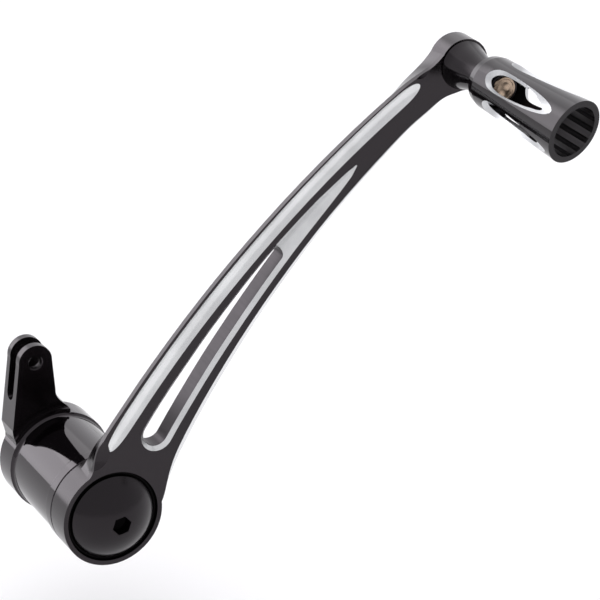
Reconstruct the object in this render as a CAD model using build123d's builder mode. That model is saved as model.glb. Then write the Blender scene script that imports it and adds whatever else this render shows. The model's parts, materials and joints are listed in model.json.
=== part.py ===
from build123d import *
import math
import os

# Motorcycle foot lever: a bowed arm with a pivot hub and pushrod clevis at one end and a
# round cross peg at the other.  Millimetres.  +Y runs along the pivot axis toward the
# motorcycle, -Y faces outward, +Z is up; the origin is on the pivot axis at the shoulder
# of the mounting stud.  Depths below are counted from the arm's flat outer face, which
# lies face_y from the origin.

os.makedirs("parts", exist_ok=True)

# ------------------------------------------------------------------ driving dimensions
centres = 254.0            # pivot axis to peg axis (10 in)
lean = 46.4                # rise of the pivot-to-peg line above +X, degrees

arm_t = 10.6               # arm thickness
flank_t = 2.6              # depth of the upright upper flank before the back bevel
back_in = 7.6              # how far the back bevel runs in under the upper flank
lip = 1.3                  # land between upper flank and groove
low_drop = 2.2             # depth of the bright bevel on the lower edge
eye_r, eye_t = 23.9, 14.4  # hub eye
boss_r, boss_t = 12.06, 10.6
groove_r, groove_d = 4.64, 1.65
bevel_w = 1.75             # bevel round the window and slot

cap_seat_r, cap_seat_d = 21.75, 7.0
spigot_r = 13.5            # barrel spigot that carries ring and eye
hub_r = 23.2               # glossy barrel
ring_end = 20.6            # rear face of the front ring
collar_y0, collar_y1 = 60.0, 71.5
collar_r = 24.5
rear_spigot_r = 18.0
bore_r = 12.0              # barrel bore
shaft_r = 9.5
pcd = 17.8                 # arm screws and dowels

ear_x, ear_z = -10.2, 52.8 # centre of the ears' rounding
ear_r, ear_hole_r = 8.1, 3.25
ear_hole_z = 52.4
ear_y = (60.0, 63.6, 70.4, 73.8)
ear_gap_z = 33.4

screw_seat = 10.6          # under the arm screw heads
rear_seat = 70.7           # under the rear screw heads
rear_screw_r = 20.9
clevis_screw_at = [133, 85]
collar_screw_at = [200, 270, 340]
foot_x0, foot_x1, foot_z = -21.0, 6.4, 9.5   # collar notch for the clevis foot

cap_r, cap_h = 19.7, 10.0  # domed cap
stud_r, stud_len = 8.0, 25.0
peg_y0 = 23.3              # arm-side end of the peg sleeve
peg_y1 = 92.25             # centre of the slanted open end
peg_slant = 20.4           # degrees
peg_floor = 5.9            # thickness of the sleeve's end wall
peg_windows = 5
peg_flutes = 14

face_y = -80.1             # arm's outer face, from the stud's shoulder

ca, sa = math.cos(math.radians(lean)), math.sin(math.radians(lean))


def xz(s, d):
    """Point s mm along the arm's centre line and d mm to its upper side, as (X, Z)."""
    return (s * ca - d * sa, s * sa + d * ca)


def at_y(y):
    """Sketch plane across the pivot axis at depth y; local axes are X and Z."""
    return Plane(origin=(0, face_y + y, 0), x_dir=(1, 0, 0), z_dir=(0, -1, 0))


peg_x, peg_z = xz(centres, 0)
PEG_AXIS = Axis(origin=(peg_x, 0, peg_z), direction=(0, 1, 0))
PEG_PLANE = Plane(origin=(peg_x, face_y, peg_z), x_dir=(1, 0, 0), z_dir=(0, 0, 1))
HUB_PLANE = Plane(origin=(0, face_y, 0), x_dir=(1, 0, 0), z_dir=(0, 0, 1))


def around(radius, angles):
    """Points (X, Z) on a circle about the pivot axis."""
    return [(radius * math.cos(math.radians(a)), radius * math.sin(math.radians(a))) for a in angles]


# ------------------------------------------------------------------ arm outline (s, d)
upper = [(7.2, 22.5), (11.3, 23.2), (16.0, 25.4), (21.0, 27.7), (26.2, 29.1), (32.0, 29.9),
         (42.0, 30.75), (53.0, 31.7), (69.2, 32.65), (85.5, 33.2), (102.1, 33.3), (119.0, 32.9),
         (136.2, 31.95), (153.8, 30.5), (171.8, 28.45), (190.2, 25.75), (209.1, 22.3),
         (222.1, 19.5), (231.0, 17.2), (237.5, 14.9), (243.5, 12.75), (249.0, 11.85), (254.0, 11.8)]
lower = [(245.5, -8.18), (241.6, -5.4), (238.0, -2.9), (233.5, -1.15), (228.8, -0.1), (221.9, 1.65),
         (209.5, 3.75), (197.3, 5.1), (185.4, 6.2), (173.7, 7.0), (162.2, 7.5), (150.9, 7.65),
         (139.8, 7.5), (128.8, 7.12), (117.9, 6.5), (107.3, 5.65), (96.7, 4.6), (86.2, 3.3),
         (75.9, 1.8), (65.7, 0.1), (55.6, -1.85), (45.6, -4.1), (36.0, -7.0), (27.1, -11.3),
         (21.6, -14.4), (17.2, -16.16)]


def shifted(points, amount):
    """Points moved sideways along the curve's normal by amount(s); + is to the upper side."""
    out = []
    for i, (s, d) in enumerate(points):
        a, b = points[max(i - 1, 0)], points[min(i + 1, len(points) - 1)]
        ts, td = b[0] - a[0], b[1] - a[1]
        n = math.hypot(ts, td)
        ns, nd = -td / n, ts / n
        if nd < 0:
            ns, nd = -ns, -nd
        k = amount(s)
        out.append((s + k * ns, d + k * nd))
    return out


def ramp(s, table):
    """Straight-line interpolation in a table of (s, value)."""
    if s <= table[0][0]:
        return table[0][1]
    for (s0, v0), (s1, v1) in zip(table, table[1:]):
        if s <= s1:
            return v0 + (v1 - v0) * (s - s0) / (s1 - s0)
    return table[-1][1]


def bevel_out(s):
    return -ramp(s, [(17.2, 0.0), (22, 0.25), (27, 1.5), (36, 2.7), (46, 3.2), (90, 3.2), (228, 2.1), (236, 1.6), (245, 0.25)])


def back_under(s):
    return -ramp(s, [(7.2, 0.0), (13, 1.2), (26, 5.2), (40, back_in), (200, back_in), (222, 6.0), (236, 3.0), (246, 0.8), (254, 0.0)])


lower_out = shifted(lower, bevel_out)
upper_back = shifted(upper, back_under)
lower_back = shifted(lower_out, lambda s: ramp(s, [(17.2, 0.0), (40, 0.8), (220, 0.8), (245, 0.1)]))


def arm_ring(up, low):
    """Closed arm outline: upper edge, peg boss arc, lower edge, hub eye arc."""
    up_xz, low_xz = [xz(*p) for p in up], [xz(*p) for p in low]
    Spline(*up_xz)
    ThreePointArc(up_xz[-1], xz(centres + 11.8 * math.cos(0.25), 11.8 * math.sin(0.25)), low_xz[0])
    Spline(*low_xz)
    ThreePointArc(low_xz[-1], xz(-23.6, -1.0), up_xz[0])


# window outline on the outer face
win_left = [(39.4, 15.95), (49.7, 17.5), (60.2, 18.65), (70.8, 19.5), (81.5, 20.3), (92.3, 20.9),
            (103.3, 21.2), (114.3, 21.3), (125.5, 21.2), (137.0, 20.75)]
win_right = [(137.0, 10.7), (126.7, 10.35), (115.9, 9.75), (105.2, 9.0), (94.5, 8.05), (84.0, 7.0),
             (73.6, 5.7), (63.2, 4.2), (52.9, 2.6), (42.7, 0.75)]
win_end = (33.3, 8.6)      # lowest point of the window's round end
# stations of the tapering pocket above the slot: s, lower edge d, upper edge d
spear = [(132.0, 10.55, 21.0), (142.8, 10.85, 20.35), (154.6, 10.9, 19.2), (166.7, 10.8, 17.7),
         (176.5, 10.8, 15.85), (184.0, 11.0, 14.4), (189.4, 12.2, 12.9)]

# groove centre line: s, d, depth of the round-nosed cut below the face
groove_mid = [(22.6, 23.0, -0.3), (26.0, 23.7, 0.55), (30.5, 24.25, 1.2), (36.5, 24.95, 1.55),
              (44.7, 25.8, groove_d), (60.7, 27.1, groove_d), (82.2, 28.2, groove_d),
              (104.3, 28.4, groove_d), (127.0, 27.75, groove_d), (150.1, 26.2, groove_d),
              (174.0, 23.65, groove_d), (198.8, 19.85, groove_d), (213.0, 17.15, groove_d),
              (222.0, 15.2, 1.55), (228.0, 13.85, 1.2), (232.0, 12.95, 0.5), (235.0, 12.2, -0.3)]

# ------------------------------------------------------------------ lever arm
with BuildPart() as lever_arm:
    for y0, y1, ring0, ring1 in ((0.0, low_drop, (upper, lower), (upper, lower_out)),
                                 (low_drop, flank_t, (upper, lower_out), (upper, lower_out)),
                                 (flank_t, arm_t, (upper, lower_out), (upper_back, lower_back))):
        with BuildSketch(at_y(y0)):
            with BuildLine():
                arm_ring(*ring0)
            make_face()
        with BuildSketch(at_y(y1)):
            with BuildLine():
                arm_ring(*ring1)
            make_face()
        loft(ruled=True)
    # hub eye and peg boss
    with BuildSketch(at_y(0)):
        Circle(eye_r)
    extrude(amount=-eye_t)
    with BuildSketch(at_y(0)):
        with Locations((peg_x, peg_z)):
            Circle(boss_r)
    extrude(amount=-boss_t)
    # rounded edge where the eye meets the ring behind it
    fillet(lever_arm.edges().filter_by(GeomType.CIRCLE).filter_by(lambda e: abs(e.radius - eye_r) < 0.01).sort_by(Axis.Y)[-1], 0.45)
    # round-bottomed groove that fades out at both ends
    with BuildLine() as groove_path:
        Spline(*[(xz(s, d)[0], face_y + h - groove_r, xz(s, d)[1]) for s, d, h in groove_mid])
    with BuildSketch(Plane(origin=groove_path.line @ 0, z_dir=groove_path.line % 0)):
        Circle(groove_r)
    sweep(path=groove_path.line, mode=Mode.SUBTRACT)
    # through slot
    slot_left = shifted(win_left, lambda s: -bevel_w)
    slot_right = shifted(win_right, lambda s: bevel_w)
    with BuildSketch(at_y(-1)):
        with BuildLine():
            Spline(*[xz(*p) for p in slot_left])
            ThreePointArc(xz(*slot_left[-1]), xz(slot_left[-1][0] + 3.0, 15.75), xz(*slot_right[0]))
            Spline(*[xz(*p) for p in slot_right])
            ThreePointArc(xz(*slot_right[-1]), xz(win_end[0] + bevel_w, win_end[1]), xz(*slot_left[0]))
        make_face()
    extrude(amount=-(arm_t + 3), mode=Mode.SUBTRACT)
    # bevel round the slot, as a funnel from above the face down to the slot wall
    for y, k in ((-0.5, 0.5), (bevel_w, -bevel_w)):
        wl, wr = shifted(win_left, lambda s: k), shifted(win_right, lambda s: -k)
        with BuildSketch(at_y(y)):
            with BuildLine():
                Spline(*[xz(*p) for p in wl])
                Line(xz(*wl[-1]), xz(*wr[0]))
                Spline(*[xz(*p) for p in wr])
                ThreePointArc(xz(*wr[-1]), xz(win_end[0] - k, win_end[1]), xz(*wl[0]))
            make_face()
    loft(ruled=True, mode=Mode.SUBTRACT)
    # tapering V pocket running from the slot to the window's tip
    for (s0, a0, b0), (s1, a1, b1) in zip(spear, spear[1:]):
        for s, lo, hi in ((s0, a0, b0), (s1, a1, b1)):
            cx, cz = xz(s, 0)
            half, mid = (hi - lo) / 2, (hi + lo) / 2
            with BuildSketch(Plane(origin=(cx, face_y, cz), x_dir=(-sa, 0, ca), z_dir=(ca, 0, sa))):
                with BuildLine():
                    Polyline((lo - 0.5, 0.5), (hi + 0.5, 0.5), (mid, -half), close=True)
                make_face()
        loft(ruled=True, mode=Mode.SUBTRACT)
    # shallow scoops where the groove runs out toward the eye and the boss
    for sc_s, sc_d, sc_r, sc_h in ((17.6, 28.5, 7.7, 1.7), (240.3, 17.6, 5.2, 1.1)):
        ball = (sc_r ** 2 + sc_h ** 2) / (2 * sc_h)
        sc_x, sc_z = xz(sc_s, sc_d)
        with BuildSketch(Plane(origin=(sc_x, face_y, sc_z), x_dir=(1, 0, 0), z_dir=(0, 0, 1))):
            with BuildLine():
                a0 = math.asin(sc_r / ball)
                ThreePointArc((0, sc_h), (ball * math.sin(a0 * 0.6), sc_h - ball + ball * math.cos(a0 * 0.6)),
                              (ball * math.sin(a0 * 1.15), sc_h - ball + ball * math.cos(a0 * 1.15)))
                Polyline((ball * math.sin(a0 * 1.15), sc_h - ball + ball * math.cos(a0 * 1.15)), (0, -0.8), (0, sc_h))
            make_face()
        revolve(axis=Axis(origin=(sc_x, 0, sc_z), direction=(0, 1, 0)), mode=Mode.SUBTRACT)
    # seat for the domed cap, bore for the barrel spigot
    with BuildSketch(at_y(-1)):
        Circle(cap_seat_r)
    extrude(amount=-(1 + cap_seat_d), mode=Mode.SUBTRACT)
    with BuildSketch(at_y(0)):
        Circle(spigot_r + 0.02)
    extrude(amount=-(eye_t + 1), mode=Mode.SUBTRACT)
    # counterbored screw holes and dowel holes through the web
    with BuildSketch(at_y(cap_seat_d - 0.5)):
        with PolarLocations(pcd, 4, start_angle=45):
            Circle(3.55)
    extrude(amount=-(screw_seat - cap_seat_d + 0.5), mode=Mode.SUBTRACT)
    with BuildSketch(at_y(cap_seat_d - 0.5)):
        with PolarLocations(pcd, 4, start_angle=45):
            Circle(2.1)
        with PolarLocations(pcd, 2, start_angle=0):
            Circle(1.52)
    extrude(amount=-(eye_t), mode=Mode.SUBTRACT)
    # threaded hole for the peg bolt
    with BuildSketch(at_y(-1)):
        with Locations((peg_x, peg_z)):
            Circle(5.05)
    extrude(amount=-10.2, mode=Mode.SUBTRACT)
lever_arm.part.label = "lever_arm"
export_step(lever_arm.part, "parts/lever_arm.step")

# ------------------------------------------------------------------ hub
# barrel: glossy body, thin spigot in front for ring and eye, short spigot behind for the collar
with BuildPart() as hub_barrel:
    with BuildSketch(HUB_PLANE):
        with BuildLine():
            Polyline((bore_r, 7.65), (spigot_r - 0.4, 7.65), (spigot_r - 0.02, 8.05), (spigot_r - 0.02, ring_end),
                     (hub_r - 0.35, ring_end), (hub_r, ring_end + 0.35), (hub_r, 57.3))
            ThreePointArc((hub_r, 57.3), (hub_r + 0.42, 59.1), (collar_r - 0.1, collar_y0))
            Polyline((collar_r - 0.1, collar_y0), (rear_spigot_r - 0.02, collar_y0), (rear_spigot_r - 0.02, collar_y1),
                     (bore_r, collar_y1), (bore_r, 7.65))
        make_face()
    revolve(axis=Axis.Y)
    with BuildSketch(at_y(ring_end)):
        with PolarLocations(pcd, 4, start_angle=45):
            Circle(2.04)
    extrude(amount=-12.5, mode=Mode.SUBTRACT)
    with BuildSketch(at_y(ring_end)):
        with PolarLocations(pcd, 2, start_angle=0):
            Circle(1.52)
    extrude(amount=-7, mode=Mode.SUBTRACT)
    with BuildSketch(at_y(collar_y0 + 0.5)):
        with Locations(*around(rear_screw_r, clevis_screw_at + collar_screw_at)):
            Circle(1.53)
    extrude(amount=11, mode=Mode.SUBTRACT)
hub_barrel.part.label = "hub_barrel"
export_step(hub_barrel.part, "parts/hub_barrel.step")

with BuildPart() as front_ring:
    with BuildSketch(HUB_PLANE):
        with BuildLine():
            Polyline((spigot_r + 0.02, eye_t), (eye_r - 0.75, eye_t), (eye_r, eye_t + 0.75), (eye_r, ring_end - 0.55))
            RadiusArc((eye_r, ring_end - 0.55), (eye_r - 0.55, ring_end), -0.55)
            Polyline((eye_r - 0.55, ring_end), (spigot_r + 0.02, ring_end), (spigot_r + 0.02, eye_t))
        make_face()
    revolve(axis=Axis.Y)
    with BuildSketch(at_y(eye_t - 1)):
        with PolarLocations(pcd, 4, start_angle=45):
            Circle(2.1)
        with PolarLocations(pcd, 2, start_angle=0):
            Circle(1.52)
    extrude(amount=-10, mode=Mode.SUBTRACT)
front_ring.part.label = "front_ring"
export_step(front_ring.part, "parts/front_ring.step")

with BuildPart() as rear_collar:
    with BuildSketch(HUB_PLANE):
        with BuildLine():
            Polyline((rear_spigot_r, collar_y0), (collar_r - 0.3, collar_y0), (collar_r, collar_y0 + 0.3),
                     (collar_r, ear_y[3] - 0.7), (collar_r - 0.7, ear_y[3]), (rear_spigot_r, ear_y[3]), close=True)
        make_face()
    revolve(axis=Axis.Y)
    # notch that holds the clevis foot
    with BuildSketch(at_y(collar_y0 - 1)):
        with BuildLine():
            Polyline((foot_x0, foot_z), (foot_x1, foot_z), (foot_x1, 40), (foot_x0, 40), close=True)
        make_face()
    extrude(amount=-15, mode=Mode.SUBTRACT)
    with BuildSketch(at_y(collar_y0 - 1)):
        with Locations(*around(rear_screw_r, collar_screw_at)):
            Circle(1.6)
    extrude(amount=-15, mode=Mode.SUBTRACT)
    with BuildSketch(at_y(ear_y[3] + 1)):
        with Locations(*around(rear_screw_r, collar_screw_at)):
            Circle(2.8)
    extrude(amount=4.1, mode=Mode.SUBTRACT)
rear_collar.part.label = "rear_collar"
export_step(rear_collar.part, "parts/rear_collar.step")

# clevis: foot in the collar notch, flared root with a turned cove, two rounded ears
with BuildPart() as clevis_bracket:
    with BuildSketch(at_y(ear_y[0])):
        with BuildLine():
            top_l = (ear_x - ear_r * math.cos(math.radians(4)), ear_z - ear_r * math.sin(math.radians(4)))
            top_r = (ear_x + ear_r * math.cos(math.radians(3)), ear_z - ear_r * math.sin(math.radians(3)))
            ThreePointArc(top_l, (ear_x, ear_z + ear_r), top_r)
            Line(top_r, (-0.95, 37.0))
            Spline((-0.95, 37.0), (0.1, 32.6), (2.7, 29.4), (foot_x1 - 0.02, 25.0))
            Polyline((foot_x1 - 0.02, 25.0), (foot_x1 - 0.02, foot_z + 0.02), (foot_x0 + 0.02, foot_z + 0.02),
                     (foot_x0 + 0.02, 14.0), (-22.5, 20.5), top_l)
        make_face()
        with Locations((ear_x, ear_hole_z)):
            Circle(ear_hole_r, mode=Mode.SUBTRACT)
    extrude(amount=-(ear_y[3] - ear_y[0]))
    with BuildSketch(at_y(ear_y[0] - 1)):
        Circle(rear_spigot_r + 0.02)
    extrude(amount=-15, mode=Mode.SUBTRACT)
    # slot between the ears, round at the bottom
    gap = ear_y[2] - ear_y[1]
    with BuildSketch(Plane(origin=(-40, face_y + (ear_y[1] + ear_y[2]) / 2, 0), x_dir=(0, 1, 0), z_dir=(1, 0, 0))):
        with BuildLine():
            Polyline((gap / 2, ear_gap_z + gap / 2), (gap / 2, 70), (-gap / 2, 70), (-gap / 2, ear_gap_z + gap / 2))
            ThreePointArc((-gap / 2, ear_gap_z + gap / 2), (0, ear_gap_z), (gap / 2, ear_gap_z + gap / 2))
        make_face()
    extrude(amount=60, mode=Mode.SUBTRACT)
    # cove turned into the front of the root, concentric with the hub
    with BuildSketch(HUB_PLANE):
        with BuildLine():
            Polyline((30.8, ear_y[0] - 1), (30.8, ear_y[0]))
            ThreePointArc((30.8, ear_y[0]), (28.9, ear_y[0] + 1.35), (26.4, ear_y[0] + 1.7))
            Polyline((26.4, ear_y[0] + 1.7), (26.0, ear_y[0] + 0.9), (24.6, ear_y[0] + 0.9), (24.4, ear_y[0]),
                     (24.4, ear_y[0] - 1), (30.8, ear_y[0] - 1))
        make_face()
    revolve(axis=Axis.Y, mode=Mode.SUBTRACT)
    # screw holes through the foot
    with BuildSketch(at_y(ear_y[0] - 1)):
        with Locations(*around(rear_screw_r, clevis_screw_at)):
            Circle(1.6)
    extrude(amount=-15, mode=Mode.SUBTRACT)
    with BuildSketch(at_y(ear_y[3] + 1)):
        with Locations(*around(rear_screw_r, clevis_screw_at)):
            Circle(2.8)
    extrude(amount=4.1, mode=Mode.SUBTRACT)
    hole_edges = clevis_bracket.edges().filter_by(GeomType.CIRCLE).filter_by(lambda e: abs(e.radius - ear_hole_r) < 0.01).sort_by(Axis.Y)
    chamfer([hole_edges[0], hole_edges[-1]], 0.4)
clevis_bracket.part.label = "clevis_bracket"
export_step(clevis_bracket.part, "parts/clevis_bracket.step")

# domed cap: spherical front, hexagon socket, threaded skirt, hollow behind
ball_r = (cap_r ** 2 + cap_h ** 2) / (2 * cap_h)
with BuildPart() as hub_cap:
    with BuildSketch(HUB_PLANE):
        with BuildLine():
            half_a = math.asin(cap_r / ball_r) / 2
            ThreePointArc((0, -cap_h), (ball_r * math.sin(half_a), ball_r - cap_h - ball_r * math.cos(half_a)), (cap_r, 0))
            Polyline((cap_r, 0), (cap_r, 3.2), (cap_seat_r - 0.04, 3.2), (cap_seat_r - 0.04, 6.9), (19.3, 6.9),
                     (19.3, 4.2), (13.0, 4.2), (13.0, -0.8), (0, -0.8), (0, -cap_h))
        make_face()
    revolve(axis=Axis.Y)
    with BuildSketch(at_y(-cap_h - 1)):
        RegularPolygon(radius=4.62, side_count=6, rotation=10)
    extrude(amount=-6.6, mode=Mode.SUBTRACT)
    with BuildSketch(HUB_PLANE):
        with BuildLine():
            Polyline((0, -4.42), (4.0, -4.42), (0, -2.9), close=True)
        make_face()
    revolve(axis=Axis.Y, mode=Mode.SUBTRACT)
hub_cap.part.label = "hub_cap"
export_step(hub_cap.part, "parts/hub_cap.step")

with BuildPart() as cap_oring:
    with BuildSketch(HUB_PLANE):
        with Locations(((cap_r + cap_seat_r) / 2, 2.18)):
            Circle(1.0)
    revolve(axis=Axis.Y)
cap_oring.part.label = "cap_oring"
export_step(cap_oring.part, "parts/cap_oring.step")

# bushes and seals: plain rings in the barrel bore (inner radius, outer radius, from, to)
with BuildPart() as front_bush:
    with BuildSketch(HUB_PLANE):
        with BuildLine():
            Polyline((shaft_r + 0.05, 10.0), (bore_r, 10.0), (bore_r, 32), (shaft_r + 0.05, 32), close=True)
        make_face()
    revolve(axis=Axis.Y)
front_bush.part.label = "front_bush"
export_step(front_bush.part, "parts/front_bush.step")

with BuildPart() as rear_bush:
    with BuildSketch(HUB_PLANE):
        with BuildLine():
            Polyline((shaft_r + 0.05, 48.0), (bore_r, 48.0), (bore_r, 69.4), (shaft_r + 0.05, 69.4), close=True)
        make_face()
    revolve(axis=Axis.Y)
rear_bush.part.label = "rear_bush"
export_step(rear_bush.part, "parts/rear_bush.step")

with BuildPart() as front_seal:
    with BuildSketch(HUB_PLANE):
        with BuildLine():
            Polyline((shaft_r + 0.06, 8.1), (bore_r, 7.8), (bore_r, 9.8), (shaft_r + 0.5, 9.8), (shaft_r + 0.06, 8.9), close=True)
        make_face()
    revolve(axis=Axis.Y)
front_seal.part.label = "front_seal"
export_step(front_seal.part, "parts/front_seal.step")

with BuildPart() as rear_seal:
    with BuildSketch(HUB_PLANE):
        with BuildLine():
            Polyline((shaft_r + 0.06, 71.0), (bore_r, 71.3), (bore_r, 69.6), (shaft_r + 0.5, 69.6), (shaft_r + 0.06, 70.3), close=True)
        make_face()
    revolve(axis=Axis.Y)
rear_seal.part.label = "rear_seal"
export_step(rear_seal.part, "parts/rear_seal.step")

# screws: cylinder heads with hexagon sockets
with BuildPart() as arm_screws:
    with BuildSketch(at_y(screw_seat)):
        with PolarLocations(pcd, 4, start_angle=45):
            Circle(3.4)
    extrude(amount=3.3)
    with BuildSketch(at_y(screw_seat)):
        with PolarLocations(pcd, 4, start_angle=45):
            Circle(2.0)
    extrude(amount=-21)
    with BuildSketch(at_y(screw_seat - 3.3)):
        with PolarLocations(pcd, 4, start_angle=45):
            RegularPolygon(radius=1.73, side_count=6)
    extrude(amount=-1.7, mode=Mode.SUBTRACT)
arm_screws.part.label = "arm_screws"
export_step(arm_screws.part, "parts/arm_screws.step")

with BuildPart() as arm_dowels:
    with BuildSketch(at_y(8.2)):
        with PolarLocations(pcd, 2, start_angle=0):
            Circle(1.5)
    extrude(amount=-19)
    chamfer(arm_dowels.edges().filter_by(GeomType.CIRCLE), 0.3)
arm_dowels.part.label = "arm_dowels"
export_step(arm_dowels.part, "parts/arm_dowels.step")

with BuildPart() as clevis_screws:
    with BuildSketch(at_y(rear_seat)):
        with Locations(*around(rear_screw_r, clevis_screw_at)):
            Circle(2.7)
    extrude(amount=-2.8)
    with BuildSketch(at_y(rear_seat)):
        with Locations(*around(rear_screw_r, clevis_screw_at)):
            Circle(1.5)
    extrude(amount=18)
    with BuildSketch(at_y(rear_seat + 2.8)):
        with Locations(*around(rear_screw_r, clevis_screw_at)):
            RegularPolygon(radius=1.44, side_count=6)
    extrude(amount=1.4, mode=Mode.SUBTRACT)
clevis_screws.part.label = "clevis_screws"
export_step(clevis_screws.part, "parts/clevis_screws.step")

with BuildPart() as collar_screws:
    with BuildSketch(at_y(rear_seat)):
        with Locations(*around(rear_screw_r, collar_screw_at)):
            Circle(2.7)
    extrude(amount=-2.8)
    with BuildSketch(at_y(rear_seat)):
        with Locations(*around(rear_screw_r, collar_screw_at)):
            Circle(1.5)
    extrude(amount=18)
    with BuildSketch(at_y(rear_seat + 2.8)):
        with Locations(*around(rear_screw_r, collar_screw_at)):
            RegularPolygon(radius=1.44, side_count=6)
    extrude(amount=1.4, mode=Mode.SUBTRACT)
collar_screws.part.label = "collar_screws"
export_step(collar_screws.part, "parts/collar_screws.step")

# ------------------------------------------------------------------ pivot, fixed to the motorcycle
with BuildPart() as pivot_shaft:
    with BuildSketch(HUB_PLANE):
        with BuildLine():
            Polyline((0, 7.5), (shaft_r - 0.6, 7.5), (shaft_r, 8.1), (shaft_r, 73.1), (0, 73.1), close=True)
        make_face()
    revolve(axis=Axis.Y)
    with BuildSketch(at_y(73.1)):
        RegularPolygon(radius=16.7, side_count=6, rotation=30)
    extrude(amount=-7)
    with BuildSketch(at_y(80.1)):
        Circle(stud_r)
    extrude(amount=-stud_len)
    chamfer(pivot_shaft.faces().sort_by(Axis.Y)[-1].edges(), 1.2)
    with BuildSketch(at_y(7.5)):
        Circle(5.04)
    extrude(amount=-26, mode=Mode.SUBTRACT)
pivot_shaft.part.label = "pivot_shaft"
export_step(pivot_shaft.part, "parts/pivot_shaft.step")

with BuildPart() as retaining_bolt:
    with BuildSketch(at_y(5.7)):
        Circle(8.0)
    extrude(amount=4.4)
    with BuildSketch(at_y(5.7)):
        Circle(5.0)
    extrude(amount=-24)
    chamfer(retaining_bolt.faces().sort_by(Axis.Y)[-1].edges(), 0.7)
    with BuildSketch(at_y(1.3)):
        RegularPolygon(radius=3.46, side_count=6)
    extrude(amount=-2.6, mode=Mode.SUBTRACT)
retaining_bolt.part.label = "retaining_bolt"
export_step(retaining_bolt.part, "parts/retaining_bolt.step")

with BuildPart() as retaining_washer:
    with BuildSketch(at_y(5.7)):
        Circle(13.2)
        Circle(5.1, mode=Mode.SUBTRACT)
    extrude(amount=-1.8)
retaining_washer.part.label = "retaining_washer"
export_step(retaining_washer.part, "parts/retaining_washer.step")

with BuildPart() as thrust_washer:
    with BuildSketch(at_y(71.6)):
        Circle(16.2)
        Circle(shaft_r + 0.05, mode=Mode.SUBTRACT)
    extrude(amount=-1.5)
thrust_washer.part.label = "thrust_washer"
export_step(thrust_washer.part, "parts/thrust_washer.step")

# ------------------------------------------------------------------ cross peg
# flared neck clamped between boss and bolt shoulder
with BuildPart() as peg_neck:
    with BuildSketch(PEG_PLANE):
        with BuildLine():
            Polyline((5.05, -23.0), (5.05, 0), (10.95, 0), (11.27, -0.45))
            Spline((11.27, -0.45), (10.35, -3.2), (9.25, -7.6), (8.15, -12.4), (7.3, -17.2), (6.95, -21.0))
            Polyline((6.95, -21.0), (6.95, -23.0), (5.05, -23.0))
        make_face()
    revolve(axis=PEG_AXIS)
peg_neck.part.label = "peg_neck"
export_step(peg_neck.part, "parts/peg_neck.step")

with BuildPart() as peg_bolt:
    with BuildSketch(PEG_PLANE):
        with BuildLine():
            Polyline((0, 8.8), (4.4, 8.8), (5.0, 8.2), (5.0, -23.0), (6.0, -23.0), (6.0, -30.3), (7.4, -30.3),
                     (7.4, -32.8), (7.0, -33.2), (0, -33.2), close=True)
        make_face()
    revolve(axis=PEG_AXIS)
    with BuildSketch(at_y(-33.2)):
        with Locations((peg_x, peg_z)):
            RegularPolygon(radius=3.46, side_count=6)
    extrude(amount=-4.5, mode=Mode.SUBTRACT)
peg_bolt.part.label = "peg_bolt"
export_step(peg_bolt.part, "parts/peg_bolt.step")

with BuildPart() as peg_washer:
    with BuildSketch(at_y(-29.5)):
        with Locations((peg_x, peg_z)):
            Circle(8.8)
            Circle(6.05, mode=Mode.SUBTRACT)
    extrude(amount=0.8)
peg_washer.part.label = "peg_washer"
export_step(peg_washer.part, "parts/peg_washer.step")

# black cap over the bolt head, its hexagon plug in the socket, with a seat for the disc
with BuildPart() as bolt_cap:
    with BuildSketch(PEG_PLANE):
        with BuildLine():
            Polyline((0, -33.2), (7.1, -33.2), (7.1, -33.8), (6.7, -34.2), (5.75, -34.2), (5.75, -33.8), (0, -33.8), close=True)
        make_face()
    revolve(axis=PEG_AXIS)
    with BuildSketch(at_y(-33.2)):
        with Locations((peg_x, peg_z)):
            RegularPolygon(radius=3.4, side_count=6)
    extrude(amount=-3)
bolt_cap.part.label = "bolt_cap"
export_step(bolt_cap.part, "parts/bolt_cap.step")

disc_ball = (3.2 ** 2 + 0.6 ** 2) / (2 * 0.6)
with BuildPart() as cap_disc:
    with BuildSketch(PEG_PLANE):
        with BuildLine():
            Polyline((0, -35.1), (0, -33.8), (5.7, -33.8), (5.7, -34.5), (5.4, -34.8), (4.7, -34.8), (4.4, -34.5), (3.2, -34.5))
            CenterArc((0, -35.1 + disc_ball), disc_ball, -90, math.degrees(math.asin(3.2 / disc_ball)))
        make_face()
    revolve(axis=PEG_AXIS)
cap_disc.part.label = "cap_disc"
export_step(cap_disc.part, "parts/cap_disc.step")

# matched points of one window: axial distance, half width, on the outside and on the inside
win_out = [(35.0, 0.0), (35.9, 2.7), (38.2, 4.9), (42.5, 6.2), (48.0, 6.5), (55.0, 6.3), (62.0, 5.95),
           (70.0, 5.45), (78.0, 4.6), (84.0, 3.5), (88.4, 1.95), (90.4, 0.0)]
win_in = [(36.5, 0.0), (37.3, 1.9), (39.2, 3.5), (42.6, 4.5), (47.0, 4.8), (52.5, 4.65), (58.5, 4.2),
          (64.5, 3.6), (69.8, 2.9), (73.8, 2.0), (76.4, 1.0), (77.3, 0.0)]


def window_points(height, keep):
    """Closed window outline at a height above the peg axis, opening outward.
    keep shortens it where the slanted end leaves less wall."""
    pts = []
    for (yo, wo), (yi, wi) in zip(win_out, win_in):
        ho, hi = 12.4 + (yo - 35.0) * 0.04, 10.5 + (yi - 36.5) * 0.02
        k = (height - hi) / (ho - hi)
        pts.append((35.0 + (yi + (yo - yi) * k - 35.0) * keep, max(0.0, wi + (wo - wi) * k)))
    return pts


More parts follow.
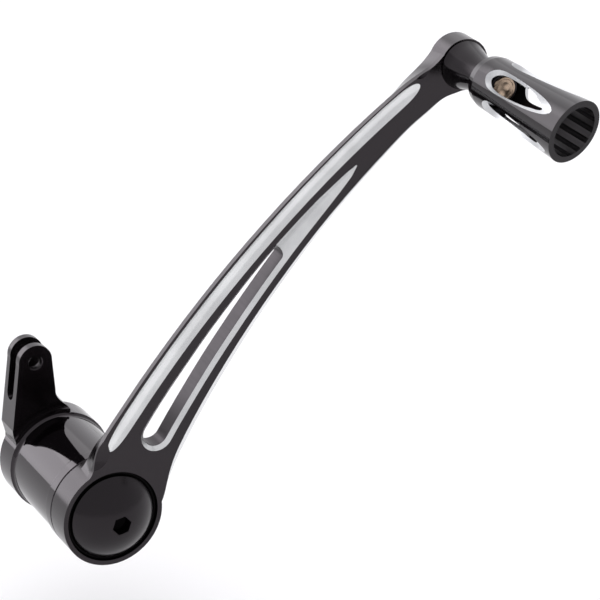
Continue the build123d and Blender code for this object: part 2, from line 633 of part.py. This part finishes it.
def half_space(offset):
    """Large block beyond the slanted end plane, moved inward by offset."""
    nx, ny, nz = (math.sin(math.radians(peg_slant)) * sa, -math.cos(math.radians(peg_slant)),
                  -math.sin(math.radians(peg_slant)) * ca)
    return Plane(origin=(peg_x - nx * offset, face_y - peg_y1 - ny * offset, peg_z - nz * offset), z_dir=(nx, ny, nz))


with BuildPart() as flute_tool:
    with BuildSketch(Plane(origin=(peg_x, face_y - 63, peg_z), x_dir=(1, 0, 0), z_dir=(0, -1, 0))):
        with PolarLocations(11.2, peg_flutes, start_angle=lean - 90 + 6):
            Circle(1.35)
    extrude(amount=40)
    with BuildSketch(half_space(1.3)):
        Rectangle(80, 80)
    extrude(amount=40, mode=Mode.SUBTRACT)

with BuildPart() as peg_sleeve:
    with BuildSketch(PEG_PLANE):
        with BuildLine():
            Polyline((7.5, -peg_y0), (11.3, -peg_y0), (11.55, -peg_y0 - 0.3), (12.25, -27.6))
            Spline((12.25, -27.6), (12.5, -40), (13.05, -55), (13.65, -70), (14.3, -85), (15.1, -101))
            Polyline((15.1, -101), (11.72, -101), (11.72, -66), (11.45, -60), (10.6, -45), (9.6, -peg_y0 - peg_floor),
                     (7.5, -peg_y0 - peg_floor), (7.5, -peg_y0))
        make_face()
    revolve(axis=PEG_AXIS)
    # windows: long drops, steep toward the neck and ramped toward the open end
    for k in range(peg_windows):
        phi = math.radians(lean + 90 + k * 360 / peg_windows)
        ux, uz = math.cos(phi), math.sin(phi)
        for h in (15.6, 8.6):
            outline = window_points(h, 0.66 if math.cos(math.radians(k * 360 / peg_windows)) < 0 else 1.0)
            ring = [(y, w) for y, w in outline] + [(y, -w) for y, w in reversed(outline[1:-1])]
            with BuildSketch(Plane(origin=(peg_x + ux * h, face_y, peg_z + uz * h), x_dir=(0, -1, 0), z_dir=(ux, 0, uz))):
                with BuildLine():
                    Spline(*ring, periodic=True)
                make_face()
        loft(ruled=True, mode=Mode.SUBTRACT)
    add(flute_tool.part, mode=Mode.SUBTRACT)
    with BuildSketch(half_space(0)):
        Rectangle(80, 80)
    extrude(amount=40, mode=Mode.SUBTRACT)
peg_sleeve.part.label = "peg_sleeve"
export_step(peg_sleeve.part, "parts/peg_sleeve.step")

with BuildPart() as peg_bush:
    with BuildSketch(PEG_PLANE):
        with BuildLine():
            Polyline((6.05, -24.9), (7.5, -24.9), (7.5, -29.2), (6.05, -29.2), close=True)
        make_face()
    revolve(axis=PEG_AXIS)
peg_bush.part.label = "peg_bush"
export_step(peg_bush.part, "parts/peg_bush.step")

with BuildPart() as peg_seal:
    with BuildSketch(PEG_PLANE):
        with BuildLine():
            Polyline((6.06, -23.5), (7.5, -23.5), (7.5, -24.7), (6.4, -24.7), (6.06, -24.2), close=True)
        make_face()
    revolve(axis=PEG_AXIS)
peg_seal.part.label = "peg_seal"
export_step(peg_seal.part, "parts/peg_seal.step")
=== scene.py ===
import json
import math

import bpy
import numpy as np
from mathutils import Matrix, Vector


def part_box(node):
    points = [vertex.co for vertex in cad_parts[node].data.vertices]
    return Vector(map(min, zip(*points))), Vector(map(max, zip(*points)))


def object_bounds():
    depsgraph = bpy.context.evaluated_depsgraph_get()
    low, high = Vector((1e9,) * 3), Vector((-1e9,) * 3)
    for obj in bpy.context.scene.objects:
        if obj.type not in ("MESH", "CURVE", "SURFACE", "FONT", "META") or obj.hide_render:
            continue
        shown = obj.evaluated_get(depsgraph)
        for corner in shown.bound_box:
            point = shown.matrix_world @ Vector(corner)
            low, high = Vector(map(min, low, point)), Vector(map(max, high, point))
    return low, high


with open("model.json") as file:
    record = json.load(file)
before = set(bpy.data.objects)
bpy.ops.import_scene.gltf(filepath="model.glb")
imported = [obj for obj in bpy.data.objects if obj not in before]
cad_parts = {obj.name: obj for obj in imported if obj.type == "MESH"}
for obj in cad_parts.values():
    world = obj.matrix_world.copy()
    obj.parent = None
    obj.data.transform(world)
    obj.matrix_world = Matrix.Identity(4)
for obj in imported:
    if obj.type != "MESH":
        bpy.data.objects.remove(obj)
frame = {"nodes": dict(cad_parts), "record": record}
nodes = frame["nodes"]
CAD_BOX = [[float(v) for v in c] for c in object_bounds()]

LEAN = math.radians(46.4)
CA, SA = math.cos(LEAN), math.sin(LEAN)
FACE_Y = -0.0801
PEG = (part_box("peg_bush")[0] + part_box("peg_bush")[1]) / 2
HUB = (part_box("front_ring")[0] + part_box("front_ring")[1]) / 2


# ---------------------------------------------------------------- node helpers
def new_material(name):
    m = bpy.data.materials.new(name)
    m.use_nodes = True
    t = m.node_tree
    t.nodes.clear()
    out = t.nodes.new("ShaderNodeOutputMaterial")
    bsdf = t.nodes.new("ShaderNodeBsdfPrincipled")
    t.links.new(bsdf.outputs["BSDF"], out.inputs["Surface"])
    return m, t, bsdf


def coords(t, scale=(1, 1, 1), rot=(0, 0, 0), loc=(0, 0, 0)):
    tc = t.nodes.new("ShaderNodeTexCoord")
    mp = t.nodes.new("ShaderNodeMapping")
    mp.inputs["Scale"].default_value = scale
    mp.inputs["Rotation"].default_value = rot
    mp.inputs["Location"].default_value = loc
    t.links.new(tc.outputs["Object"], mp.inputs["Vector"])
    return mp.outputs["Vector"]


def noise(t, vec, scale, detail=3.0, rough=0.5):
    n = t.nodes.new("ShaderNodeTexNoise")
    n.inputs["Scale"].default_value = scale
    n.inputs["Detail"].default_value = detail
    n.inputs["Roughness"].default_value = rough
    t.links.new(vec, n.inputs["Vector"])
    return n.outputs["Fac"]


def remap(t, fac, lo, hi, f0=0.3, f1=0.7):
    r = t.nodes.new("ShaderNodeMapRange")
    r.inputs["From Min"].default_value = f0
    r.inputs["From Max"].default_value = f1
    r.inputs["To Min"].default_value = lo
    r.inputs["To Max"].default_value = hi
    t.links.new(fac, r.inputs["Value"])
    return r.outputs["Result"]


def tint(t, fac, a, b, p0=0.35, p1=0.65):
    r = t.nodes.new("ShaderNodeValToRGB")
    r.color_ramp.elements[0].position = p0
    r.color_ramp.elements[1].position = p1
    r.color_ramp.elements[0].color = (*a, 1)
    r.color_ramp.elements[1].color = (*b, 1)
    t.links.new(fac, r.inputs["Fac"])
    return r.outputs["Color"]


def bump(t, bsdf, height, strength, distance):
    b = t.nodes.new("ShaderNodeBump")
    b.inputs["Strength"].default_value = strength
    b.inputs["Distance"].default_value = distance
    t.links.new(height, b.inputs["Height"])
    t.links.new(b.outputs["Normal"], bsdf.inputs["Normal"])


def finish_coat(name, dark, light, rough, rough_var=0.03, ior=1.5, peel=0.02, coat=0.0, coat_rough=0.03,
                metallic=0.0, grain=2600.0, cloud=35.0):
    """Painted or anodised surface: faint cloudiness in colour and gloss, fine grain in the bump."""
    m, t, s = new_material(name)
    v = coords(t)
    big = noise(t, v, cloud, 2.0)
    fine = noise(t, v, grain, 2.0)
    t.links.new(tint(t, big, dark, light), s.inputs["Base Color"])
    t.links.new(remap(t, big, rough - rough_var, rough + rough_var), s.inputs["Roughness"])
    s.inputs["Metallic"].default_value = metallic
    s.inputs["IOR"].default_value = ior
    s.inputs["Specular Tint"].default_value = (1.0, 0.90, 0.97, 1)
    s.inputs["Coat Weight"].default_value = coat
    s.inputs["Coat Roughness"].default_value = coat_rough
    bump(t, s, fine, peel, 0.00002)
    return m


def cut_metal(name, color, rough, along=(0, 0, 0), stretch=(1, 1, 1), lines=900.0, strength=0.12, rough_var=0.05,
              metallic=1.0):
    """Bare machined metal: fine tool lines drawn out along one direction."""
    m, t, s = new_material(name)
    v = coords(t, scale=stretch, rot=along)
    ln = noise(t, v, lines, 2.0, 0.6)
    cl = noise(t, coords(t), 60.0, 2.0)
    c2 = tuple(min(1.0, c * 1.06) for c in color)
    c1 = tuple(c * 0.93 for c in color)
    t.links.new(tint(t, cl, c1, c2), s.inputs["Base Color"])
    t.links.new(remap(t, ln, rough - rough_var, rough + rough_var), s.inputs["Roughness"])
    s.inputs["Metallic"].default_value = metallic
    bump(t, s, ln, strength, 0.00002)
    return m


M = {}
M["arm_black"] = finish_coat("arm_black_anodised", (0.0016, 0.0011, 0.0014), (0.0028, 0.0020, 0.0025), 0.20, 0.03, 1.46, 0.02)
M["gloss_black"] = finish_coat("gloss_black", (0.0010, 0.0007, 0.0010), (0.0018, 0.0013, 0.0018), 0.07, 0.015, 1.50, 0.006)
M["satin_black"] = finish_coat("satin_black", (0.0014, 0.0011, 0.0013), (0.0024, 0.0019, 0.0023), 0.20, 0.03, 1.40, 0.02)
M["bore_black"] = finish_coat("bore_black", (0.0045, 0.0040, 0.0045), (0.0070, 0.0062, 0.0070), 0.34, 0.02, 1.27, 0.01)
M["neck_black"] = finish_coat("neck_black", (0.0010, 0.0008, 0.0011), (0.0018, 0.0014, 0.0019), 0.14, 0.02, 1.36, 0.01)
M["peg_black"] = finish_coat("peg_black", (0.0010, 0.0008, 0.0011), (0.0018, 0.0014, 0.0019), 0.06, 0.012, 1.36, 0.006)
M["rim_black"] = finish_coat("rim_black", (0.0010, 0.0008, 0.0011), (0.0018, 0.0014, 0.0019), 0.20, 0.02, 1.27, 0.01)
M["slot_wall"] = cut_metal("slot_wall_metal", (0.040, 0.036, 0.039), 0.36, (0, 0, 0), (1, 0.05, 1), 1500.0, 0.08)
M["bright"] = cut_metal("bright_cut_metal", (0.76, 0.77, 0.77), 0.24, (0, -LEAN, 0), (0.03, 1, 1), 2200.0, 0.02, 0.02, 0.75)
M["peg_bright"] = cut_metal("peg_window_metal", (0.66, 0.67, 0.68), 0.34, (0, 0, 0), (1, 0.04, 1), 2200.0, 0.02, 0.03, 0.5)
M["steel"] = cut_metal("turned_steel", (0.55, 0.56, 0.58), 0.28, (0, 0, 0), (0.1, 1, 0.1), 1800.0, 0.15)
M["black_steel"] = finish_coat("black_oxide_steel", (0.03, 0.03, 0.033), (0.05, 0.05, 0.054), 0.38, 0.05, 1.5, 0.1, metallic=0.7)
M["bronze"] = cut_metal("sintered_bronze", (0.60, 0.41, 0.20), 0.42, (0, 0, 0), (1, 1, 1), 2500.0, 0.25, 0.08)
M["brass"] = cut_metal("brass_disc", (0.46, 0.35, 0.26), 0.3, (0, 0, 0), (1, 1, 1), 1200.0, 0.1)
# Black rubber finish, also painted into the flute grooves, the cap's hex socket, the cap gap and the arm's cap seat as
# painted shade.
M["rubber"] = finish_coat("black_rubber_and_painted_shade", (0.0008, 0.0008, 0.0008), (0.0014, 0.0014, 0.0014), 0.6, 0.06, 1.15, 0.1)
M["plastic"] = finish_coat("black_plastic", (0.002, 0.002, 0.002), (0.004, 0.004, 0.004), 0.35, 0.05, 1.4, 0.15)

slots = {e["node"]: e["material_slot"] for e in frame["record"]["subparts"]}
for name, ob in nodes.items():
    ob.data.materials.clear()
    ob.data.materials.append(M[{"peg_neck": "neck_black", "peg_sleeve": "peg_black"}.get(name, slots[name])])


def arrays(ob):
    n = len(ob.data.polygons)
    c, nr = np.zeros(n * 3), np.zeros(n * 3)
    ob.data.polygons.foreach_get("center", c)
    ob.data.polygons.foreach_get("normal", nr)
    return c.reshape(-1, 3), nr.reshape(-1, 3)


def paint(ob, mask, mat):
    ob.data.materials.append(mat)
    idx = np.zeros(len(ob.data.polygons), np.int32)
    ob.data.polygons.foreach_get("material_index", idx)
    idx[mask] = len(ob.data.materials) - 1
    ob.data.polygons.foreach_set("material_index", idx)
    ob.data.update()


# ---------------------------------------------------------------- arm: bright cuts
GROOVE = np.array([(22.6, 23.0, -0.3), (26.0, 23.7, 0.55), (30.5, 24.25, 1.2), (36.5, 24.95, 1.55), (44.7, 25.8, 1.65),
                   (60.7, 27.1, 1.65), (82.2, 28.2, 1.65), (104.3, 28.4, 1.65), (127.0, 27.75, 1.65), (150.1, 26.2, 1.65),
                   (174.0, 23.65, 1.65), (198.8, 19.85, 1.65), (213.0, 17.15, 1.65), (222.0, 15.2, 1.55),
                   (228.0, 13.85, 1.2), (232.0, 12.95, 0.5), (235.0, 12.2, -0.3)])
GROOVE_R = 4.64


def dense(pts, n=12):
    out = []
    for i in range(len(pts) - 1):
        p0, p1, p2, p3 = pts[max(i - 1, 0)], pts[i], pts[i + 1], pts[min(i + 2, len(pts) - 1)]
        for k in range(n):
            u = k / n
            out.append(0.5 * (2 * p1 + (p2 - p0) * u + (2 * p0 - 5 * p1 + 4 * p2 - p3) * u * u
                              + (3 * p1 - p0 - 3 * p2 + p3) * u ** 3))
    out.append(pts[-1])
    return np.array(out)


arm = nodes["lever_arm"]
c, nr = arrays(arm)
mm = c * 1000
s_ = mm[:, 0] * CA + mm[:, 2] * SA
d_ = -mm[:, 0] * SA + mm[:, 2] * CA
y_ = (c[:, 1] - FACE_Y) * 1000
out_n = -nr[:, 1]
nd = -nr[:, 0] * SA + nr[:, 2] * CA
dpath = np.interp(s_, GROOVE[:, 0], GROOVE[:, 1])
SCOOPS = ((17.6, 28.5, 7.7, 1.7), (240.3, 17.6, 5.2, 1.1))
in_scoop = np.zeros(len(s_), bool)
for sc_s, sc_d, sc_r, sc_h in SCOOPS:
    ball = (sc_r ** 2 + sc_h ** 2) / (2 * sc_h)
    to_ball = np.sqrt((s_ - sc_s) ** 2 + (d_ - sc_d) ** 2 + (y_ - (sc_h - ball)) ** 2)
    in_scoop |= (np.abs(to_ball - ball) < 0.12) & (np.hypot(s_ - sc_s, d_ - sc_d) < sc_r + 0.3)
groove = ((out_n > 0.3) & (y_ > 0.012) & (y_ < 1.95) & (np.abs(d_ - dpath) < 4.6) & (s_ > 23) & (s_ < 236)
          & ~in_scoop)
slope = (out_n > 0.55) & (out_n < 0.95) & (y_ > 0.02)
funnel = slope & (y_ < 1.76) & (s_ > 30) & (s_ < 139) & (d_ < 22) & (d_ > 0) & ~groove
pocket = slope & (s_ > 128) & (s_ < 191) & (d_ > 9.5) & (d_ < 22) & ~groove
low_edge = slope & (y_ < 2.25) & (nd < -0.2) & (s_ > 26) & (s_ < 246) & ~groove & ~funnel & ~pocket
SLOT_HI = np.array([(33.0, 9.5), (39.4, 15.95), (49.7, 17.5), (60.2, 18.65), (70.8, 19.5), (81.5, 20.3), (92.3, 20.9),
                    (103.3, 21.2), (114.3, 21.3), (125.5, 21.2), (137.0, 20.75), (143.0, 20.3)])
SLOT_LO = np.array([(33.0, 7.5), (36.0, 1.8), (42.7, 0.75), (52.9, 2.6), (63.2, 4.2), (73.6, 5.7), (84.0, 7.0), (94.5, 8.05),
                    (105.2, 9.0), (115.9, 9.75), (126.7, 10.35), (137.0, 10.7), (143.0, 10.8)])
in_slot = ((d_ < np.interp(s_, SLOT_HI[:, 0], SLOT_HI[:, 1])) & (d_ > np.interp(s_, SLOT_LO[:, 0], SLOT_LO[:, 1]))
           & (s_ > 33) & (s_ < 143))
wall = (np.abs(out_n) < 0.2) & in_slot & (y_ > 1.0)
# Painted shade: the cylindrical wall of the arm's cap-seat recess gets the near-black rubber material so the gap round
# the dome looks dark.
seat_gap_shade = ((np.abs(np.hypot(mm[:, 0], mm[:, 2]) - 21.75) < 0.12) & (np.abs(out_n) < 0.3) & (y_ > -0.1) & (y_ < 7.1))
paint(arm, groove | funnel | pocket | low_edge, M["bright"])
paint(arm, wall, M["slot_wall"])
paint(arm, seat_gap_shade, M["rubber"])

# ---------------------------------------------------------------- peg: bright window bevels, flute grooves painted black as painted shade
peg = nodes["peg_sleeve"]
c, nr = arrays(peg)
rel = (c - np.array([PEG[0], FACE_Y, PEG[2]])) * 1000
rad = np.hypot(rel[:, 0], rel[:, 2])
axial = -rel[:, 1]
phi = np.degrees(np.arctan2(rel[:, 2], rel[:, 0]))
radial_n = (nr[:, 0] * rel[:, 0] + nr[:, 2] * rel[:, 2]) / rad
outside = np.interp(axial, [27.6, 40, 55, 70, 85, 101], [12.25, 12.5, 13.05, 13.65, 14.3, 15.1])
SLANT = math.radians(20.4)
rim_n = np.array([math.sin(SLANT) * SA, -math.cos(SLANT), -math.sin(SLANT) * CA])
on_rim = nr @ rim_n > 0.985
bore = (radial_n < -0.1) & (rad < 12.75) & (axial > 29.0) & (np.abs(nr[:, 1]) < 0.9)
window = ((axial > 34.0) & (axial < 91.5) & (radial_n > -0.1) & ~on_rim
          & ((rad < outside - 0.12) | (radial_n < 0.9)))
turn = (phi - (46.4 - 90 + 6) + 180 / 14) % (360 / 14) - 180 / 14
# Painted shade: the flute groove surfaces inside the bore get the near-black rubber material so the grooves read as
# dark bands.
flute_shade = bore & (axial > 63.0) & ((np.abs(turn) < 6.15) | (rad > 11.78))
paint(peg, window, M["peg_bright"])
paint(peg, bore, M["bore_black"])
paint(peg, flute_shade, M["rubber"])
paint(peg, on_rim & ~bore & ~window, M["rim_black"])

cap = nodes["hub_cap"]
c, nr = arrays(cap)
r_cap = np.hypot(c[:, 0] - HUB[0], c[:, 2] - HUB[2]) * 1000
cap_y = (c[:, 1] - FACE_Y) * 1000
# Painted shade: the hex socket inside the cap and the dome's outer edge at the seat gap get the near-black rubber
# material.
paint(cap, (r_cap < 4.7) & (cap_y > -9.45), M["rubber"])
paint(cap, (r_cap > 19.4) & (cap_y > 0.02), M["rubber"])


# ---------------------------------------------------------------- floor, light, camera
lo, hi = (Vector(v) for v in CAD_BOX)
mid = (lo + hi) / 2
FLOOR_Z = lo.z - 0.045

me = bpy.data.meshes.new("floor")
R = 6.0
me.from_pydata([(mid.x - R, mid.y - R, FLOOR_Z), (mid.x + R, mid.y - R, FLOOR_Z), (mid.x + R, mid.y + R, FLOOR_Z),
                (mid.x - R, mid.y + R, FLOOR_Z)], [], [(0, 1, 2, 3)])
floor = bpy.data.objects.new("floor", me)
bpy.context.scene.collection.objects.link(floor)
fm, ft, fs = new_material("floor_paper")
ft.links.new(tint(ft, noise(ft, coords(ft), 3.0), (0.87, 0.87, 0.87), (0.9, 0.9, 0.9)), fs.inputs["Base Color"])
fs.inputs["Roughness"].default_value = 0.9
fs.inputs["Specular IOR Level"].default_value = 0.1
fs.inputs["Emission Color"].default_value = (1, 1, 1, 1)
fs.inputs["Emission Strength"].default_value = 0.05
me.materials.append(fm)


def softbox(name, loc, target, size, watts, color=(1, 1, 1)):
    ld = bpy.data.lights.new(name, "AREA")
    ld.shape = "RECTANGLE"
    ld.size, ld.size_y = size
    ld.energy = watts
    ld.color = color
    ob = bpy.data.objects.new(name, ld)
    bpy.context.scene.collection.objects.link(ob)
    ob.location = loc
    ob.rotation_mode = "QUATERNION"
    ob.rotation_quaternion = (Vector(target) - Vector(loc)).to_track_quat("-Z", "Y")
    return ob


softbox("overhead", mid + Vector((0.0, 1.6, 2.6)), mid + Vector((0, 0.3, 0)), (5.0, 3.6), 30)

w = bpy.data.worlds.new("studio")
w.use_nodes = True
wt = w.node_tree
bg = wt.nodes["Background"]
bg.inputs["Color"].default_value = (0.98, 0.97, 1.0, 1)
wc = wt.nodes.new("ShaderNodeTexCoord")
wx = wt.nodes.new("ShaderNodeSeparateXYZ")
wt.links.new(wc.outputs["Generated"], wx.inputs[0])


def world_range(value, f0, f1, t0, t1):
    n = wt.nodes.new("ShaderNodeMapRange")
    n.interpolation_type = "SMOOTHSTEP"
    n.inputs["From Min"].default_value = f0
    n.inputs["From Max"].default_value = f1
    n.inputs["To Min"].default_value = t0
    n.inputs["To Max"].default_value = t1
    wt.links.new(value, n.inputs["Value"])
    return n.outputs["Result"]


aim = Vector((-0.45, 0.83, 0.32)).normalized()
dot = wt.nodes.new("ShaderNodeVectorMath")
dot.operation = "DOT_PRODUCT"
dot.inputs[1].default_value = aim
wt.links.new(wc.outputs["Generated"], dot.inputs[0])
add = wt.nodes.new("ShaderNodeMath")
add.operation = "ADD"
wt.links.new(world_range(wx.outputs["Y"], -0.1, 0.95, 0.75, 1.35), add.inputs[0])
wt.links.new(world_range(dot.outputs["Value"], 0.86, 0.985, 0.0, 2.5), add.inputs[1])
wt.links.new(add.outputs["Value"], bg.inputs["Strength"])
bpy.context.scene.world = w
bpy.context.scene.view_settings.view_transform = "Standard"

az, el = math.radians(-27.2096), math.radians(24.4468)
back = Vector((math.sin(az) * math.cos(el), -math.cos(az) * math.cos(el), math.sin(el)))
cd = bpy.data.cameras.new("camera")
cd.sensor_width = 36.0
cd.lens = 3037.45 / 600 * 36.0
cd.clip_start, cd.clip_end = 0.05, 60
cam = bpy.data.objects.new("camera", cd)
bpy.context.scene.collection.objects.link(cam)
cam.location = Vector((-0.4700112, -1.0957416 + FACE_Y, 0.6465137))
cam.rotation_mode = "QUATERNION"
cam.rotation_quaternion = (-back).to_track_quat("-Z", "Y")
bpy.context.scene.camera = cam
